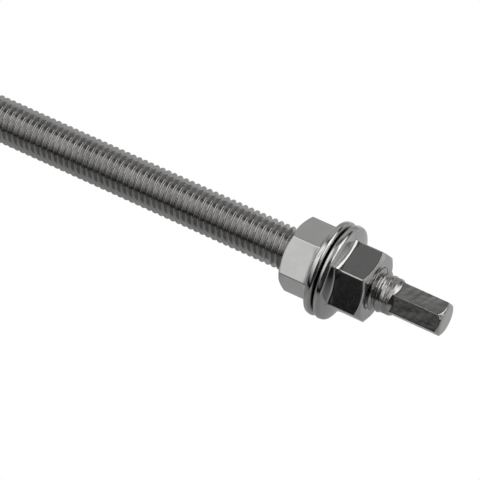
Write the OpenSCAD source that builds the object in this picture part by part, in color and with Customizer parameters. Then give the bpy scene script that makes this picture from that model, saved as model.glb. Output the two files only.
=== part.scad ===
// Solar hanger bolt, M10 x 250, lying level on its nut flanges.
// The bolt's axis runs along X, with the hex drive at +X and the point at -X.
// The origin is below the middle of the bolt's length, on the plane that the flange rims rest on.

/* [Machine thread] */
// Nominal diameter of the machine thread
thread_d = 10; // [10:0.5:12]
// How far the thread's crests are below the nominal diameter
crest_drop = 0.1; // [0.06:0.02:0.2]
// Thread left showing past the clamping plane, up to the end of the thread
stub_l = 13; // [11.5:0.25:13.5]
// Length of machine thread on the point side of the clamping plane
thread_l = 120; // [118:1:124]

/* [Drive end] */
// Width across the flats of the hex drive
drive_af = 7; // [6.5:0.25:7.5]
// Length from the clamping plane to the end face of the drive
drive_end = 27; // [25:0.5:32]
// Diameter of the unthreaded blank under the drive
blank_d = 8.4; // [8.3:0.1:9.2]
// Turn of the drive's corners about the bolt's axis
drive_roll = 31; // [0:1:59]

/* [Wood thread] */
// Overall length of the bolt
bolt_l = 250; // [250:5:300]
// Diameter of the plain shank between the two threads
shank_d = 9; // [8.6:0.1:9.4]
// Length of the plain shank
shank_l = 13; // [8:1:16]
// Outer diameter of the wood thread
wood_d = 9.5; // [9.2:0.1:9.6]
// Core diameter of the wood thread
wood_core_d = 7; // [6.4:0.2:7.6]
// Pitch of the wood thread
wood_pitch = 4.5; // [4:0.25:5]
// Length of the point
point_l = 12; // [9:1:14]

/* [Flange nuts] */
// Width across the flats of the nuts
nut_af = 15; // [14:0.5:17]
// Diameter of the nuts' flanges
flange_d = 21.8; // [21:0.1:22.2]
// Height of the nuts
nut_h = 10; // [9.6:0.1:10.4]
// Space left between each bearing face and the clamping plane
face_gap = 0.1; // [0.05:0.05:0.3]
// Radial clearance of each nut on the thread
nut_clear = 0.05; // [0.03:0.01:0.08]
// Number of locking ribs on each bearing face
ribs = 24; // [18:1:30]
// Depth of the grooves between the locking ribs
rib_depth = 0.2; // [0.1:0.05:0.4]
// Turn of the upper nut's corners about the bolt's axis
upper_roll = 33; // [0:0.1:59.9]
// Turn of the lower nut's corners about the bolt's axis
lower_roll = 15.2; // [0:0.1:59.9]
// Turn of the seal nut's corners about the bolt's axis
seal_nut_roll = 47; // [0:1:59]

/* [Seal] */
// Distance from the clamping plane to the seal's top face
seal_at = 107; // [105:0.5:109]
// Height of the seal
seal_h = 20; // [16:1:24]
// Diameter of the seal at its top
seal_top_d = 20.6; // [19:0.2:20.8]
// Diameter of the seal's lip on the roof side
seal_lip_d = 22; // [21.8:0.05:22.4]
// Radial clearance of the seal on the thread
seal_clear = 0.05; // [0.03:0.01:0.08]

/* [Hidden] */

steel = [0.62, 0.61, 0.60];
nut_steel = [0.74, 0.74, 0.73];
rubber = [0.09, 0.09, 0.09];

thread_r = thread_d / 2 - crest_drop / 2;
bore_r = thread_r + nut_clear;
flange_r = flange_d / 2;
x_clamp = bolt_l / 2 - drive_end;
x_tip = -bolt_l / 2;
x_thread_end = x_clamp + stub_l;
x_thread_start = x_clamp - thread_l;
x_seal = x_clamp - seal_at;
core_r = wood_core_d / 2;
wood_r = wood_d / 2;
wood_start = x_thread_start - shank_l;
wood_turns = floor((wood_start - x_tip - point_l) / wood_pitch);
crest_w = 0.4;
foot_w = 1.1;

// Everything is drawn along Z and then laid along X at the height of the bolt's axis.
module lay(x, back = false)
    translate([x, 0, flange_r]) rotate([0, back ? -90 : 90, 0]) children();

// A ring of V grooves across a bearing face at z = 0, which leaves radial locking ribs.
module rib_grooves(r_in, r_out)
    for (i = [0:ribs - 1])
        rotate([0, 0, i * 360 / ribs])
            translate([r_in, 0, 0]) rotate([90, 0, 90])
                linear_extrude(r_out - r_in)
                    polygon([[-0.95, -0.2], [-0.95, 0], [0, rib_depth], [0.25, 0], [0.25, -0.2]]);

// A flanged hex nut, bearing face at z = 0 and hex end at z = h.
module flange_nut(h, roll) {
    corner_r = nut_af / 2 / cos(30);
    land_r = nut_af / 2 - 0.4;
    cone_z = function(r) 2 + (flange_r - 0.45 - r) * 0.33;
    difference() {
        union() {
            rotate_extrude($fn = 120)
                polygon([[0, 0], [flange_r - 0.4, 0], [flange_r, 0.7], [flange_r, 1.2], [flange_r - 0.12, 1.66],
                    [flange_r - 0.45, 2], [nut_af / 2 - 1.2, cone_z(nut_af / 2 - 1.2)], [0, cone_z(nut_af / 2 - 1.2)]]);
            intersection() {
                rotate([0, 0, roll]) translate([0, 0, 1]) cylinder(r = corner_r, h = h - 1, $fn = 6);
                rotate_extrude($fn = 120)
                    polygon([[0, 0.5], [corner_r + 1, 0.5], [corner_r + 1, h - (corner_r + 1 - land_r) * tan(30)],
                        [land_r, h], [0, h]]);
            }
        }
        translate([0, 0, -1]) cylinder(r = bore_r, h = h + 2, $fn = 96);
        // Countersinks at both ends of the thread
        rotate_extrude($fn = 96)
            polygon([[bore_r - 1, -0.5], [bore_r + 1.15, -0.5], [bore_r + 0.4, 0.25], [bore_r - 1, 1.65]]);
        rotate_extrude($fn = 96)
            polygon([[bore_r - 1, h + 0.5], [bore_r + 1.1, h + 0.5], [bore_r - 1, h - 1.6]]);
        rib_grooves(bore_r + 1.5, flange_r + 1);
    }
}

module hanger_bolt() {
    corner_r = drive_af / 2 / cos(30);
    blank_r = blank_d / 2;
    z0 = x_tip;
    color(steel) translate([0, 0, flange_r]) rotate([0, 90, 0]) {
        // Machine thread at the diameter of its crests, blank, and the cone where the hex is forged
        rotate_extrude($fn = 96)
            polygon([[0, wood_start + 2], [shank_d / 2, wood_start + 2], [shank_d / 2, x_thread_start - 0.5], [thread_r, x_thread_start],
                [thread_r, x_thread_end - 0.45], [blank_r, x_thread_end], [blank_r, x_clamp + 14.7],
                [drive_af / 2 - 0.3, x_clamp + 16.6], [0, x_clamp + 16.6]]);
        // Hex drive with a chamfered end
        intersection() {
            rotate([0, 0, drive_roll]) translate([0, 0, x_clamp + 13]) cylinder(r = corner_r, h = drive_end - 13, $fn = 6);
            rotate_extrude($fn = 96)
                polygon([[0, x_clamp + 12.5], [blank_r, x_clamp + 12.5], [blank_r, x_clamp + drive_end - 0.8],
                    [drive_af / 2 - 0.35, x_clamp + drive_end], [0, x_clamp + drive_end]]);
        }
        // Plain shank's end, the wood thread's core and crests, and the point
        rotate_extrude($fn = 96)
            polygon(concat(
                [[0, wood_start + 2.5], [shank_d / 2, wood_start + 2.5], [shank_d / 2, wood_start + 0.6], [core_r, wood_start - 0.4]],
                [for (i = [0:wood_turns - 1]) for (p = [[core_r, -0.9], [wood_r, -0.9 - foot_w + crest_w], [wood_r, -0.9 - foot_w], [core_r, -0.9 - 2 * foot_w + crest_w]])
                    [p[0], wood_start + p[1] - i * wood_pitch]],
                [[core_r, z0 + point_l], [0, z0]]));
    }
}

module upper_flange_nut()
    color(nut_steel) lay(x_clamp + face_gap) flange_nut(nut_h, upper_roll);

module lower_flange_nut()
    color(nut_steel) lay(x_clamp - face_gap, true) flange_nut(nut_h, -lower_roll);

module seal_flange_nut()
    color(nut_steel) lay(x_seal + face_gap) flange_nut(nut_h, seal_nut_roll);

// A moulded rubber seal: a collar under the nut, a waist and a lip that presses on the roof.
module epdm_seal() {
    top_r = seal_top_d / 2;
    lip_r = seal_lip_d / 2;
    color(rubber) difference() {
        lay(x_seal, true) difference() {
            rotate_extrude($fn = 120)
                polygon([[0, 0], [top_r - 0.5, 0], [top_r, 0.5], [top_r, seal_h * 0.3], [top_r - 0.9, seal_h * 0.3 + 0.9],
                    [top_r - 0.9, seal_h * 0.55], [lip_r, seal_h * 0.72], [lip_r, seal_h - 0.6], [lip_r - 0.6, seal_h], [0, seal_h]]);
            translate([0, 0, -1]) cylinder(r = thread_r + seal_clear, h = seal_h + 2, $fn = 96);
        }
        // The soft lip is pressed flat where it lies on the floor
        translate([x_seal - seal_h - 1, -lip_r, -2]) cube([seal_h + 2, 2 * lip_r, 2]);
    }
}

hanger_bolt();
upper_flange_nut();
lower_flange_nut();
seal_flange_nut();
epdm_seal();
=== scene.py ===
import bpy
import bmesh
import math
import numpy as np
from mathutils import Matrix, Vector


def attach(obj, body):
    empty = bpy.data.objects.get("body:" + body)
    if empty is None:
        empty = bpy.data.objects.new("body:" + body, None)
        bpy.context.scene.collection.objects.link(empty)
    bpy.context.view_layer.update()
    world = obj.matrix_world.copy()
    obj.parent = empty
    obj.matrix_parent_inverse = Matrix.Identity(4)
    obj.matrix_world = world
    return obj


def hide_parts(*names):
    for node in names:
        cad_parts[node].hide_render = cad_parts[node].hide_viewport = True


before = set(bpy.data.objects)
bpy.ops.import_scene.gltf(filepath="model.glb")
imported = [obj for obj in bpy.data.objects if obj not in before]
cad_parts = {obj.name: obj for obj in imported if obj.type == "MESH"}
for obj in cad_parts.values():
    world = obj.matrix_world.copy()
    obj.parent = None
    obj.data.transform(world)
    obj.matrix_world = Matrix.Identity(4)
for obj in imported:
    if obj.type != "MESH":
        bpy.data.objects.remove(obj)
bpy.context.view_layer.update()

# ---------------------------------------------------------------- sizes, in millimetres
# X runs along the bolt's axis from the clamping plane, towards the drive. Angles turn about +X from straight up.
AXIS_Z = 10.9
X_CLAMP = 98.0
PITCH = 1.5
CREST_R = 4.97
ROOT_R = 4.018
BLANK_R = 4.19
# a crest of the machine thread passes the angle PHI_CREST at X_CREST
X_CREST = -82.24
PHI_CREST = math.radians(125.76)
DRIVE_ROLL = 30.73
UPPER_ROLL = 32.96
LOWER_ROLL = 15.2
SEAL_NUT_ROLL = 47.0


# ---------------------------------------------------------------- mesh building
def place(co):
    """Points in millimetres from the clamping plane, to the row's frame in metres."""
    co = np.asarray(co, float)
    return np.stack([(co[:, 0] + X_CLAMP) / 1000, co[:, 1] / 1000, (co[:, 2] + AXIS_Z) / 1000], -1)


def make_object(name, co, faces, merge=2e-6, sharp_deg=None):
    mesh = bpy.data.meshes.new(name)
    mesh.from_pydata(place(co).tolist(), [], faces)
    bm = bmesh.new()
    bm.from_mesh(mesh)
    bmesh.ops.remove_doubles(bm, verts=bm.verts, dist=merge)
    bmesh.ops.dissolve_degenerate(bm, edges=bm.edges, dist=merge * 0.5)
    loose = [v for v in bm.verts if not v.link_faces]
    bmesh.ops.delete(bm, geom=loose, context="VERTS")
    bmesh.ops.recalc_face_normals(bm, faces=bm.faces)
    for f in bm.faces:
        f.smooth = True
    if sharp_deg is not None:
        limit = math.radians(sharp_deg)
        for e in bm.edges:
            if len(e.link_faces) == 2 and e.calc_face_angle(0) > limit:
                e.smooth = False
    bm.to_mesh(mesh)
    bm.free()
    ob = bpy.data.objects.new(name, mesh)
    bpy.context.scene.collection.objects.link(ob)
    return ob


class Skin:
    """Rings of points round the bolt's axis, joined column by column into one surface."""

    def __init__(self, phi_deg):
        self.phi = np.radians(np.asarray(phi_deg, float))
        self.n = len(self.phi)
        self.dirs = np.stack([np.zeros(self.n), -np.sin(self.phi), np.cos(self.phi)], -1)
        self.co, self.faces, self.last, self.count = [], [], None, 0

    def _add(self, x, r):
        pts = self.dirs * np.broadcast_to(np.asarray(r, float), (self.n,))[:, None]
        pts[:, 0] = np.broadcast_to(np.asarray(x, float), (self.n,))
        self.co.append(pts)
        first = self.count
        self.count += self.n
        return first

    def _join(self, a, b, shift=0):
        n = self.n
        for j in range(n - 1):
            self.faces.append((a + j, a + j + 1, b + j + 1, b + j))
        self.faces.append((a + n - 1, a, b, b + n - 1))

    def ring(self, x, r):
        first = self._add(x, r)
        if self.last is not None:
            self._join(self.last, first)
        self.last = first
        return first

    def tip(self, x, r=None, at=None):
        """Closes the skin with one point on the axis, on the last ring or on ring at."""
        ring = self.last if at is None else at
        self.co.append(np.array([[x, 0.0, 0.0]]))
        c = self.count
        self.count += 1
        for j in range(self.n):
            self.faces.append((c, ring + j, ring + (j + 1) % self.n))

    def helix(self, x0, x1, pitch, x_ref, phi_ref, marks, radius):
        """A screw thread from x0 to x1. marks are the profile's stations in one pitch, from 0 at the crest to 1; radius(frac, x, phi) is the surface."""
        lo, hi = min(x0, x1), max(x0, x1)
        marks = sorted(marks)
        p = len(marks)
        turn = (self.phi - self.phi[0]) / (2 * math.pi)
        base = x_ref + pitch * (self.phi[0] - phi_ref) / (2 * math.pi)
        first = math.floor((lo - base) / pitch) - 2
        last = math.ceil((hi - base) / pitch) + 2
        rows = []
        for m in range(first, last):
            for q in marks:
                x = base + pitch * (m + q + turn)
                xc = np.clip(x, lo, hi)
                rows.append((xc, radius((q + (xc - x) / pitch) % 1.0, xc, self.phi)))
        up = x1 > x0
        if not up:
            rows.reverse()
        step = p if up else -p
        before = self.last
        ids = [self._add(x, r) for x, r in rows]
        if before is not None:
            self._join(before, ids[0])
        n = self.n
        for i in range(len(ids) - 1):
            a, b = ids[i], ids[i + 1]
            for j in range(n - 1):
                self.faces.append((a + j, a + j + 1, b + j + 1, b + j))
            k = i + step
            if 0 <= k and k + 1 < len(ids):
                self.faces.append((a + n - 1, ids[k], ids[k + 1], b + n - 1))
        self.last = ids[-1]

    def close_to(self, first):
        self._join(self.last, first)

    def build(self, name, merge=2e-6, sharp_deg=None):
        return make_object(name, np.concatenate(self.co), self.faces, merge, sharp_deg)


def hexagon_r(phi, roll_deg, apothem, rho):
    """The radius of a hexagon with rounded corners, at angles phi."""
    d = (phi - math.radians(roll_deg) + math.pi / 6) % (math.pi / 3) - math.pi / 6  # from the nearest corner
    c = (apothem - rho) / math.cos(math.pi / 6)
    tangent = math.atan2(rho * 0.5, c + rho * math.cos(math.pi / 6))
    flat = apothem / np.cos(math.pi / 6 - np.abs(d))
    arc = c * np.cos(d) + np.sqrt(np.maximum(rho * rho - (c * np.sin(d)) ** 2, 0))
    return np.where(np.abs(d) < tangent, arc, flat)


def hex_columns(roll_deg, offsets):
    out = []
    for k in range(6):
        out += [roll_deg + 60 * k + o for o in offsets]
    return sorted(out)


def smooth(a, b, x):
    t = np.clip((np.asarray(x, float) - a) / (b - a), 0, 1)
    return t * t * (3 - 2 * t)


# ---------------------------------------------------------------- the bolt
def machine_profile(frac):
    """Radius of the rolled M10 x 1.5 thread, by distance from the crest's middle: a narrow crest, 60 degree flanks, a round root."""
    d = np.minimum(frac, 1 - frac) * PITCH
    return np.interp(d, [0, 0.05, 0.10, 0.56, 0.594, 0.64, 0.693, 0.75],
                     [CREST_R - 0.01, CREST_R - 0.005, CREST_R - 0.045, ROOT_R + 0.11, ROOT_R + 0.0644, ROOT_R + 0.0295, ROOT_R + 0.0075, ROOT_R])


MACHINE_MARKS = sorted([0.0, 0.5] + [s * d / PITCH % 1 for d in (0.05, 0.10, 0.56, 0.594, 0.64, 0.693) for s in (1, -1)])


def machine_radius(frac, x, phi):
    r = machine_profile(frac)
    # the thread runs out over its last turn at the drive, crests first, and over its first at the shank
    top = np.interp(x, [10.6, 11.2, 12.0, 12.8, 13.5], [CREST_R, 4.84, 4.52, 4.36, 4.2])
    low = ROOT_R + (BLANK_R - 0.03 - ROOT_R) * smooth(11.0, 13.3, x)
    r = low + (r - ROOT_R) / (CREST_R - ROOT_R) * (top - low)
    out = 1 - smooth(12.9, 13.5, x)
    start = smooth(-120.0, -118.2, x)
    r = BLANK_R + (r - BLANK_R) * out
    return 4.5 + (r - 4.5) * start


WOOD_PITCH, WOOD_CORE, WOOD_CREST = 4.5, 3.5, 4.75
WOOD_END, WOOD_START = -222.7, -134.0


def wood_radius(frac, x, phi):
    d = np.minimum(frac, 1 - frac) * WOOD_PITCH
    along = np.clip((x + 223.0) / 12.0, 0, 1)  # 0 at the tip, 1 where the point ends
    core = 0.12 + (WOOD_CORE - 0.12) * along ** 0.9
    high = (WOOD_CREST - WOOD_CORE) * (0.12 + 0.88 * smooth(-223.0, -208.0, x)) * (1 - smooth(-138.5, -134.6, x))
    shape = np.interp(d, [0, 0.13, 0.78, 1.05, 2.25], [1.0, 1.0, 0.13, 0.0, 0.0])
    r = core + high * shape
    blend = smooth(-136.2, WOOD_START, x)
    return r + (4.5 - r) * blend


WOOD_MARKS = sorted([0.0, 0.5] + [s * d / WOOD_PITCH % 1 for d in (0.13, 0.78, 1.05) for s in (1, -1)])

DRIVE_OFFSETS = [-23, -15.5, -8, -1.0, -0.35, 0.35, 1.0, 8, 15.5, 23, 30]


def build_bolt():
    s = Skin(hex_columns(DRIVE_ROLL, DRIVE_OFFSETS))
    first = s.ring(-222.72, 0.13)
    s.tip(-222.98, at=first)
    s.helix(WOOD_END, WOOD_START, WOOD_PITCH, -150.0, 0.0, WOOD_MARKS, wood_radius)
    for x in (-133.0, -127.0, -121.0):
        s.ring(x, 4.5)
    s.helix(-120.0, 13.5, PITCH, X_CREST, PHI_CREST, MACHINE_MARKS, machine_radius)
    # the blank, dented and rippled by forging
    def blank(x):
        dent = 0.03 * np.sin(3 * s.phi + 2.1 * x) * np.sin(5 * s.phi - 3.0 * x) + 0.015 * np.sin(7 * s.phi + 5 * x)
        ripple = 0.011 * np.sin(27.0 * x + 2.0 * np.sin(2 * s.phi)) + 0.007 * np.sin(19.0 * x - 9.0 * s.phi)
        # a fold where the forging dies met, and the ridge beside it
        deg = np.degrees(s.phi)
        fold = 0.06 * np.exp(-((x - 14.25) / 0.30) ** 2 - (((deg - 58 + 180) % 360 - 180) / 9.0) ** 2)
        ridge = 0.05 * np.exp(-((x - 14.45) / 0.16) ** 2 - (((deg - 32 + 180) % 360 - 180) / 14.0) ** 2)
        rough = (dent + ripple - fold + ridge - 0.02) * smooth(13.45, 13.7, x) * (1 - smooth(14.5, 14.62, x))
        return np.minimum(BLANK_R + rough, 4.20)
    for k in range(1, 14):
        s.ring(13.5 + 0.085 * k, blank(13.5 + 0.085 * k))
    hx = hexagon_r(s.phi, DRIVE_ROLL, 3.54, 0.07)
    # the forged step: a flat facet above each face of the hex, cut slanting into the round blank, and a short hollow
    off = (s.phi - math.radians(DRIVE_ROLL)) % (math.pi / 3) - math.pi / 6
    x_face = 15.70 - 0.5 * (off / (math.pi / 6)) ** 2
    x_cut = x_face - np.maximum(BLANK_R * np.cos(off) - 3.54, 0.03) / math.tan(math.radians(32))
    s.ring(np.minimum(14.64, x_cut - 0.02), BLANK_R)
    s.ring(x_cut, BLANK_R)
    drop = BLANK_R - hx
    run = x_face - x_cut
    for f in (0.4, 0.8):
        s.ring(x_cut + run * f, BLANK_R - drop * f)
    for f in (0.35, 0.65, 1.0):
        s.ring(x_cut + run * ((1 - f) ** 2 * 0.8 + 2 * f * (1 - f) + f * f * 1.25), (1 - f) ** 2 * (BLANK_R - drop * 0.8) + (1 - (1 - f) ** 2) * hx)

    # the faces of the drive are not quite flat
    def face(x):
        wave = np.sin(2.1 * x + 4.0 * s.phi) * np.sin(1.3 * x - 2.0 * s.phi) + 0.6 * np.sin(3.7 * x + 6.0 * s.phi)
        return hx + 0.013 * wave * smooth(16.1, 17.2, x) * (1 - smooth(24.6, 25.3, x))
    for x in np.arange(16.2, 25.5, 0.4):
        s.ring(x, face(x))
    # the end is slightly domed, and cuts deeper into the corners
    deep = 0.35 + 0.65 * np.maximum(np.cos(s.phi - math.radians(DRIVE_ROLL)), 0) ** 2

    def dome(r):
        x = np.interp(r, [2.4, 2.8, 3.1, 3.3, 3.42, 3.52, 3.70, 3.90, 4.10], [27.0, 26.985, 26.94, 26.87, 26.79, 26.70, 26.46, 26.16, 25.84])
        return 26.70 + (x - 26.70) * np.where(x < 26.70, deep, 1.0)
    x_end = dome(hx)
    s.ring(x_end - 0.16, hx)
    s.ring(x_end - 0.045, hx - 0.006)
    s.ring(dome(hx - 0.07) - 0.0, hx - 0.07)
    for r in (3.36, 3.22, 3.05, 2.8, 2.4):
        s.ring(dome(r), r)
    s.ring(27.0, 1.2)
    s.tip(27.0)
    return s.build("bolt_threaded", sharp_deg=20)


# ---------------------------------------------------------------- the flange nuts
NUT_OFFSETS = [-23, -16, -9, -4, -2.6, -1.7, -1.1, -0.55, 0, 0.55, 1.1, 1.7, 2.6, 4, 9, 16, 23, 30]
RIBS = 36
LAND_R = 7.1
NUT_MARKS = sorted([0.0, 0.5] + [s * d / PITCH % 1 for d in (0.09, 0.33, 0.56) for s in (1, -1)])


def build_nut(name, x0, side, h, roll):
    """A flange nut with its bearing ribs at x0 and its hex end at x0 + side * h."""
    step = 360.0 / RIBS
    cols = hex_columns(roll, NUT_OFFSETS)
    ribs = [roll + k * step + o for k in range(RIBS) for o in (0.0, 0.18 * step, 0.5 * step, 0.68 * step)]
    merged = []
    for a in sorted([(c % 360, 0) for c in cols] + [(c % 360, 1) for c in ribs]):
        if merged and a[0] - merged[-1][0] < 0.4:
            if a[1] == 0 and merged[-1][1] == 1:
                merged[-1] = a
            continue
        merged.append(a)
    s = Skin([m[0] for m in merged])
    phi = s.phi
    hx = hexagon_r(phi, roll, 7.54, 0.36)
    u = ((np.degrees(phi) - roll) % step) / step
    # depth of the grooves between the ribs: flat rib, one steep side and one slow side
    groove = 0.11 * np.interp(u, [0, 0.18, 0.5, 0.68, 1.0], [0.0, 0.0, 1.0, 0.85, 0.0])

    def at(t, r):
        return s.ring(x0 + side * np.asarray(t, float), r)

    def cone(r):
        return 1.93 + (10.5 - np.asarray(r, float)) * 0.33

    first = at(0.30, 5.75)
    at(0.26, 6.1)
    at(0.24, 6.55)
    at(groove, 6.8)
    at(groove, 9.30)
    at(groove * 0.4 + 0.06, 9.62)
    at(0.08, 10.05)
    # rim: a round edge up from the bearing face, a band with 12 degrees of draft, then a small round down to the cone
    for deg in (76, 64, 52, 40, 29, 18, 9, 0):
        a = math.radians(deg)
        at(0.90 - 0.75 * math.sin(a), 10.14 + 0.75 * math.cos(a))
    at(1.2, 10.845)
    for deg in (12, 24, 36, 48, 60, 71):
        a = math.radians(deg)
        at(1.5 + 0.644 * (math.sin(a) - 0.2079), 10.784 - 0.644 * (0.9781 - math.cos(a)))
    at(cone(9.7), 9.7)
    # a hollow into the hex, longest at the corners
    corner = smooth(7.6, 8.6, hx)
    reach, rise = 0.70 - 0.12 * corner, 0.66 + 0.95 * corner
    base = cone(hx)
    for f in (0.0, 0.12, 0.25, 0.4, 0.55, 0.7, 0.85, 1.0):
        r = (1 - f) ** 2 * (hx + reach) + (1 - (1 - f) ** 2) * hx
        t = (1 - f) ** 2 * cone(hx + reach) + 2 * f * (1 - f) * base + f * f * (base + rise)
        at(t, r)
    low = base + rise
    at(low + 0.05, hx)
    top = h - (hx - LAND_R) * math.tan(math.radians(30))
    for f in (0.33, 0.66):
        at(low + (top - 0.3 - low) * f, hx)
    at(top - 0.30, hx)
    at(top - 0.08, hx)
    at(top + 0.01, hx - 0.03)
    at(top + 0.07, hx - 0.12)
    at(h - 0.06, LAND_R + 0.11)
    at(h - 0.015, LAND_R - 0.01)
    at(h, LAND_R - 0.15)
    at(h, 5.9)
    at(h, 5.16)
    at(h - 0.06, 5.08)
    t_in = (0.06, 0.30)

    def inner(frac, x, p):
        d = np.minimum(frac, 1 - frac) * PITCH
        thread = np.maximum(4.22, 5.03 - np.maximum(0, d - 0.09) * 1.732)
        depth = np.minimum(h - 0.06 - (x - x0) * side, (x - x0) * side - 0.30)
        edge = np.where((x - x0) * side > h / 2, 5.08, 5.75)
        return np.maximum(thread, edge - np.maximum(depth, 0) * 1.0)

    s.helix(x0 + side * (h - 0.06), x0 + side * 0.30, PITCH, X_CREST, PHI_CREST, NUT_MARKS, inner)
    s.close_to(first)
    return s.build(name, sharp_deg=30)


# ---------------------------------------------------------------- the seal
def build_seal():
    n = 96
    s = Skin([360.0 * k / n for k in range(n)])
    x_top = -107.0

    def at(t, r):
        # two faint parting lines of the mould run along the sides
        d = np.minimum(np.abs((np.degrees(s.phi) - 90 + 180) % 180 - 0), 180 - (np.degrees(s.phi) - 90 + 180) % 180)
        line = 0.06 * np.exp(-(d / 2.0) ** 2) * (9.2 < r < 10.9)
        # the soft lip is pressed flat where it lies on the floor
        down = np.maximum(-np.cos(s.phi), 1e-6)
        return s.ring(x_top - t, np.minimum(r + line, (AXIS_Z - 0.005) / down))

    first = at(0.9, 5.0)
    at(0.25, 5.15)
    at(0.02, 5.6)
    at(0.02, 9.5)
    for k in range(1, 6):
        a = math.radians(90 * k / 5)
        at(0.62 - 0.6 * math.cos(a), 9.62 + 0.6 * math.sin(a))
    at(3.0, 10.24)
    at(5.5, 10.25)
    for k in range(1, 6):
        f = k / 5
        at(5.7 + 1.5 * f, 10.25 - 0.9 * (f * f * (3 - 2 * f)))
    at(9.0, 9.33)
    at(10.8, 9.35)
    for k in range(1, 9):
        f = k / 8
        at(10.8 + 3.8 * f, 9.35 + 1.60 * (f * f * (3 - 2 * f)))
    at(17.0, 10.98)
    at(19.0, 10.99)
    for k in range(1, 6):
        a = math.radians(90 * k / 5)
        at(19.3 + 0.6 * math.sin(a), 10.39 + 0.6 * math.cos(a))
    # sealing rings moulded into the face on the roof
    for r0 in (9.2, 8.1, 7.0):
        at(19.92, r0 + 0.42)
        at(19.55, r0 + 0.25)
        at(19.55, r0 - 0.25)
        at(19.92, r0 - 0.42)
    at(19.92, 5.6)
    at(19.7, 5.15)
    at(19.1, 5.0)
    at(10.0, 5.0)
    s.close_to(first)
    return s.build("seal_moulded", sharp_deg=35)


bolt = build_bolt()
upper = build_nut("upper_nut_detailed", 0.1, 1, 10.0, UPPER_ROLL)
lower = build_nut("lower_nut_detailed", -0.1, -1, 10.0, LOWER_ROLL)
third = build_nut("seal_nut_detailed", -106.9, 1, 10.0, SEAL_NUT_ROLL)
seal = build_seal()


# ---------------------------------------------------------------- materials
def new_material(name):
    m = bpy.data.materials.new(name)
    m.use_nodes = True
    nt = m.node_tree
    nt.nodes.clear()
    out = nt.nodes.new("ShaderNodeOutputMaterial")
    bsdf = nt.nodes.new("ShaderNodeBsdfPrincipled")
    nt.links.new(bsdf.outputs["BSDF"], out.inputs["Surface"])
    return m, nt, bsdf


def coords(nt, scale, rotate=(0, 0, 0)):
    tc = nt.nodes.new("ShaderNodeTexCoord")
    mp = nt.nodes.new("ShaderNodeMapping")
    mp.inputs["Scale"].default_value = scale
    mp.inputs["Rotation"].default_value = rotate
    nt.links.new(tc.outputs["Object"], mp.inputs["Vector"])
    return mp.outputs["Vector"]


def noise(nt, vector, scale, detail=4.0, rough=0.5):
    n = nt.nodes.new("ShaderNodeTexNoise")
    n.inputs["Scale"].default_value = scale
    n.inputs["Detail"].default_value = detail
    n.inputs["Roughness"].default_value = rough
    nt.links.new(vector, n.inputs["Vector"])
    return n.outputs["Fac"]


def ramp(nt, fac, stops):
    r = nt.nodes.new("ShaderNodeValToRGB")
    els = r.color_ramp.elements
    while len(els) > 1:
        els.remove(els[-1])
    els[0].position, els[0].color = stops[0][0], (*stops[0][1], 1)
    for pos, col in stops[1:]:
        e = els.new(pos)
        e.color = (*col, 1)
    nt.links.new(fac, r.inputs["Fac"])
    return r.outputs["Color"]


def remap(nt, fac, lo, hi, a=0.0, b=1.0):
    m = nt.nodes.new("ShaderNodeMapRange")
    m.inputs["From Min"].default_value = a
    m.inputs["From Max"].default_value = b
    m.inputs["To Min"].default_value = lo
    m.inputs["To Max"].default_value = hi
    nt.links.new(fac, m.inputs["Value"])
    return m.outputs["Result"]


def bump(nt, height, strength, distance, normal=None):
    b = nt.nodes.new("ShaderNodeBump")
    b.inputs["Strength"].default_value = strength
    b.inputs["Distance"].default_value = distance
    nt.links.new(height, b.inputs["Height"])
    if normal is not None:
        nt.links.new(normal, b.inputs["Normal"])
    return b.outputs["Normal"]


def steel(name, dark, light, rough_lo, rough_hi, grain, grain_scale, mottle=300.0):
    m, nt, bsdf = new_material(name)
    bsdf.inputs["Metallic"].default_value = 1.0
    cloud = noise(nt, coords(nt, (1, 1, 1)), mottle, 5.0, 0.6)
    colour = ramp(nt, cloud, [(0.3, dark), (0.7, light)])
    fine = noise(nt, coords(nt, grain_scale), 1000.0, 3.0, 0.6)
    rough = remap(nt, fine, rough_lo, rough_hi, 0.25, 0.75)
    normal = bump(nt, fine, grain, 0.00002)
    if name == "rolled_steel":
        # the skin is darker and duller where the step was forged
        tc = nt.nodes.new("ShaderNodeTexCoord")
        sep = nt.nodes.new("ShaderNodeSeparateXYZ")
        nt.links.new(tc.outputs["Object"], sep.inputs[0])
        rise = remap(nt, sep.outputs["X"], 0.0, 1.0, 0.1113, 0.1117)
        fall = remap(nt, sep.outputs["X"], 1.0, 0.0, 0.1125, 0.1127)
        zone = nt.nodes.new("ShaderNodeMath")
        zone.operation = "MULTIPLY"
        nt.links.new(rise, zone.inputs[0])
        nt.links.new(fall, zone.inputs[1])
        more = nt.nodes.new("ShaderNodeMath")
        more.operation = "MULTIPLY_ADD"
        nt.links.new(zone.outputs[0], more.inputs[0])
        more.inputs[1].default_value = 0.12
        nt.links.new(rough, more.inputs[2])
        rough = more.outputs[0]
        darker = nt.nodes.new("ShaderNodeMix")
        darker.data_type = "RGBA"
        darker.blend_type = "MULTIPLY"
        nt.links.new(zone.outputs[0], darker.inputs[0])
        nt.links.new(colour, darker.inputs[6])
        darker.inputs[7].default_value = (0.86, 0.85, 0.84, 1)
        colour = darker.outputs[2]
        # forging and drawing leave the faces a little uneven
        uneven = noise(nt, coords(nt, (0.7, 1.0, 1.0), (0.0, 0.0, 0.6)), 650.0, 2.0, 0.5)
        normal = bump(nt, uneven, 1.0, 0.00005, normal)
    nt.links.new(colour, bsdf.inputs["Base Color"])
    nt.links.new(rough, bsdf.inputs["Roughness"])
    nt.links.new(normal, bsdf.inputs["Normal"])
    return m


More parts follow.
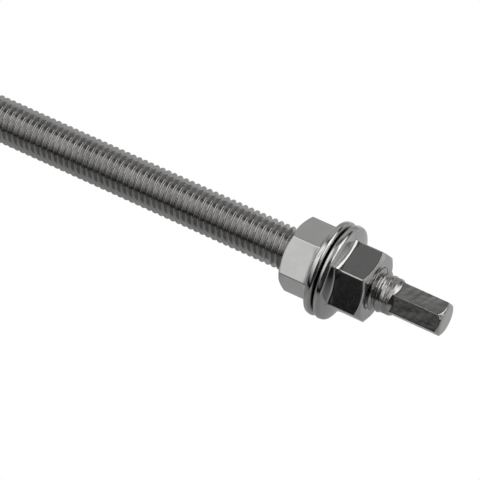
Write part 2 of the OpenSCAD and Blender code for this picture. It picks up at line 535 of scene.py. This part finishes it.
rod_steel = steel("rolled_steel", (0.37, 0.365, 0.361), (0.47, 0.465, 0.46), 0.13, 0.22, 0.05, (1.0, 1.6, 1.6))
nut_steel = steel("bright_steel", (0.47, 0.47, 0.465), (0.52, 0.52, 0.515), 0.09, 0.15, 0.02, (1.0, 1.2, 1.2), 160.0)

rubber, nt, bsdf = new_material("moulded_rubber")
cloud = noise(nt, coords(nt, (1, 1, 1)), 400.0, 5.0, 0.6)
nt.links.new(ramp(nt, cloud, [(0.3, (0.012, 0.012, 0.012)), (0.7, (0.028, 0.028, 0.027))]), bsdf.inputs["Base Color"])
fine = noise(nt, coords(nt, (1, 1, 1)), 2500.0, 4.0, 0.6)
nt.links.new(remap(nt, fine, 0.5, 0.68, 0.3, 0.7), bsdf.inputs["Roughness"])
nt.links.new(bump(nt, fine, 0.25, 0.00004), bsdf.inputs["Normal"])

for ob, mat, body, node, slot in (
    (bolt, rod_steel, "bolt", "hanger_bolt", "bolt_steel"),
    (upper, nut_steel, "upper_nut", "upper_flange_nut", "nut_steel"),
    (lower, nut_steel, "lower_nut", "lower_flange_nut", "nut_steel"),
    (third, nut_steel, "seal_nut", "seal_flange_nut", "nut_steel"),
    (seal, rubber, "seal", "epdm_seal", "seal_rubber"),
):
    ob.data.materials.append(mat)
    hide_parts(node)
    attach(ob, body)


# ---------------------------------------------------------------- floor, studio and camera
# Soft boxes round the bolt: turn from +X towards +Y, half width and softness, lower and upper edge and softness, in degrees, and radiance.
SOFT_BOXES = [
    (15.9, 29.4, 20.5, 12.6, 29.4, 2.3, 1.205),
    (181.4, 20.8, 16.8, -0.2, 73.4, 4.2, 1.408),
    (229.3, 25.3, 3.0, 22.9, 70.3, 22.9, 1.247),
    (67.8, 26.2, 11.8, -2.8, 11.5, 7.3, 0.622),
    (53.4, 26.9, 10.7, 34.7, 72.4, 3.4, 1.764),
    (103.5, 174.0, 20.6, 69.0, 120.0, 6.3, 0.505),
    (119.7, 27.2, 9.2, 2.2, 48.8, 9.6, 0.510),
    (358.1, 36.0, 3.0, 42.3, 70.6, 2.1, 1.816),
    (45.0, 11.0, 5.0, 32.0, 46.0, 4.0, 0.30),
    (122.0, 15.0, 8.0, 45.0, 66.0, 5.0, 0.135),
    (253.0, 20.0, 8.0, 3.0, 20.0, 3.0, 0.11),
]
DIM = 0.035
# painted light and shade on the floor: how bright the floor looks from the bolt, by distance across it in metres, a
# glow that stands in for the floor's lighting and the bolt's shadow on it
PAINTED_FLOOR_LIGHT_AND_SHADE = [(-0.2, 0.0), (-0.12, 0.0), (-0.05, 0.328), (-0.012, 0.333), (0.012, 0.496), (0.05, 0.596), (0.12, 0.293), (0.2, 0.45)]

floor_mesh = bpy.data.meshes.new("floor")
floor_mesh.from_pydata([(-3, -3, 0), (3, -3, 0), (3, 3, 0), (-3, 3, 0)], [], [(0, 1, 2, 3)])
floor = bpy.data.objects.new("floor", floor_mesh)
bpy.context.scene.collection.objects.link(floor)
m = bpy.data.materials.new("pale_floor")
m.use_nodes = True
nt = m.node_tree
nt.nodes.clear()
out = nt.nodes.new("ShaderNodeOutputMaterial")
white = nt.nodes.new("ShaderNodeEmission")
white.inputs["Color"].default_value = (1, 1, 1, 1)
white.inputs["Strength"].default_value = 1.0
# what the steel sees of the floor: painted light, as if lit from behind, and painted shade on the side that faces away
# from the lamps; the floor glows instead of being lit
painted_floor_glow = nt.nodes.new("ShaderNodeEmission")
tc = nt.nodes.new("ShaderNodeTexCoord")
sep = nt.nodes.new("ShaderNodeSeparateXYZ")
nt.links.new(tc.outputs["Object"], sep.inputs[0])
across = remap(nt, sep.outputs["Y"], 0.0, 1.0, -0.2, 0.2)
nt.links.new(ramp(nt, across, [((y + 0.2) / 0.4, (v, v, v)) for y, v in PAINTED_FLOOR_LIGHT_AND_SHADE]), painted_floor_glow.inputs["Color"])
# painted light: the floor glows brighter over two spans along the bolt, one of them past the bolt's end where its
# shadow does not reach
painted_bright_spans = []
for edges in ((0.083, 0.087, 0.0, 0.24), (0.096, 0.098, 1.0, 0.0), (0.1225, 0.127, 0.0, 0.24), (0.140, 0.165, 1.0, 0.0)):
    n = nt.nodes.new("ShaderNodeMapRange")
    n.interpolation_type = "SMOOTHSTEP"
    for key, v in zip(("From Min", "From Max", "To Min", "To Max"), edges):
        n.inputs[key].default_value = v
    nt.links.new(sep.outputs["X"], n.inputs["Value"])
    painted_bright_spans.append(n.outputs["Result"])
strength = 1.0
for rise, fall in (painted_bright_spans[:2], painted_bright_spans[2:]):
    patch = nt.nodes.new("ShaderNodeMath")
    patch.operation = "MULTIPLY_ADD"
    nt.links.new(rise, patch.inputs[0])
    nt.links.new(fall, patch.inputs[1])
    if strength == 1.0:
        patch.inputs[2].default_value = 1.0
    else:
        nt.links.new(strength, patch.inputs[2])
    strength = patch.outputs[0]
nt.links.new(strength, painted_floor_glow.inputs["Strength"])
lp = nt.nodes.new("ShaderNodeLightPath")
pick = nt.nodes.new("ShaderNodeMixShader")
nt.links.new(lp.outputs["Is Camera Ray"], pick.inputs["Fac"])
nt.links.new(painted_floor_glow.outputs[0], pick.inputs[1])
nt.links.new(white.outputs[0], pick.inputs[2])
nt.links.new(pick.outputs[0], out.inputs["Surface"])
floor_mesh.materials.append(m)

world = bpy.data.worlds.new("studio")
bpy.context.scene.world = world
world.use_nodes = True
nt = world.node_tree
nt.nodes.clear()
out = nt.nodes.new("ShaderNodeOutputWorld")
tc = nt.nodes.new("ShaderNodeTexCoord")
direction = tc.outputs["Generated"]


def calc(op, a, b=None):
    n = nt.nodes.new("ShaderNodeMath")
    n.operation = op
    for k, v in enumerate((a, b)):
        if v is None:
            continue
        if isinstance(v, (int, float)):
            n.inputs[k].default_value = v
        else:
            nt.links.new(v, n.inputs[k])
    return n.outputs[0]


def along(x, y, z):
    n = nt.nodes.new("ShaderNodeVectorMath")
    n.operation = "DOT_PRODUCT"
    n.inputs[1].default_value = (x, y, z)
    nt.links.new(direction, n.inputs[0])
    return n.outputs["Value"]


def window(value, edge, soft, rising):
    n = nt.nodes.new("ShaderNodeMapRange")
    n.interpolation_type = "SMOOTHSTEP"
    n.inputs["From Min"].default_value = math.radians(edge - soft)
    n.inputs["From Max"].default_value = math.radians(edge + soft)
    n.inputs["To Min"].default_value = 0.0 if rising else 1.0
    n.inputs["To Max"].default_value = 1.0 if rising else 0.0
    nt.links.new(value, n.inputs["Value"])
    return n.outputs["Result"]


height = calc("ARCSINE", along(0, 0, 1))
light = DIM
for az, half, soft_az, low, high, soft_el, power in SOFT_BOXES:
    ca, sa = math.cos(math.radians(az)), math.sin(math.radians(az))
    side = calc("ABSOLUTE", calc("ARCTAN2", along(-sa, ca, 0), along(ca, sa, 0)))
    box = calc("MULTIPLY", window(side, half, soft_az, False), window(height, low, soft_el, True))
    if high < 89:
        box = calc("MULTIPLY", box, window(height, high, soft_el, False))
    light = calc("ADD", calc("MULTIPLY", box, power), light)
studio = nt.nodes.new("ShaderNodeBackground")
nt.links.new(light, studio.inputs["Color"])
plain = nt.nodes.new("ShaderNodeBackground")
plain.inputs["Color"].default_value = (1, 1, 1, 1)
plain.inputs["Strength"].default_value = 1.0
lp = nt.nodes.new("ShaderNodeLightPath")
pick = nt.nodes.new("ShaderNodeMixShader")
nt.links.new(lp.outputs["Is Camera Ray"], pick.inputs["Fac"])
nt.links.new(studio.outputs[0], pick.inputs[1])
nt.links.new(plain.outputs[0], pick.inputs[2])
nt.links.new(pick.outputs[0], out.inputs["Surface"])

scene = bpy.context.scene
scene.view_settings.view_transform = "Standard"
scene.view_settings.look = "None"

# The camera's place comes from where the bolt's axis lies in the picture: no roll, a level bolt, 50 degrees above it.
axis_c = Vector((0.8612, -0.39117, 0.32453)).normalized()
elev = math.atan2(0.39117, 0.32453)
up_c = Vector((0.0, math.cos(elev), math.sin(elev)))
y_c = up_c.cross(axis_c)
turn = Matrix((axis_c, y_c, up_c))
p_c = Vector((20.5165, -6.5271, -713.4928)) / 1000
p_w = Vector((X_CLAMP, 0, AXIS_Z)) / 1000
cam_data = bpy.data.cameras.new("camera")
cam_data.sensor_width = 36.0
cam_data.lens = 3324.497 / 480 * 36
cam_data.clip_start, cam_data.clip_end = 0.01, 20
cam = bpy.data.objects.new("camera", cam_data)
scene.collection.objects.link(cam)
cam.matrix_world = Matrix.Translation(p_w - turn @ p_c) @ turn.to_4x4()
scene.camera = cam
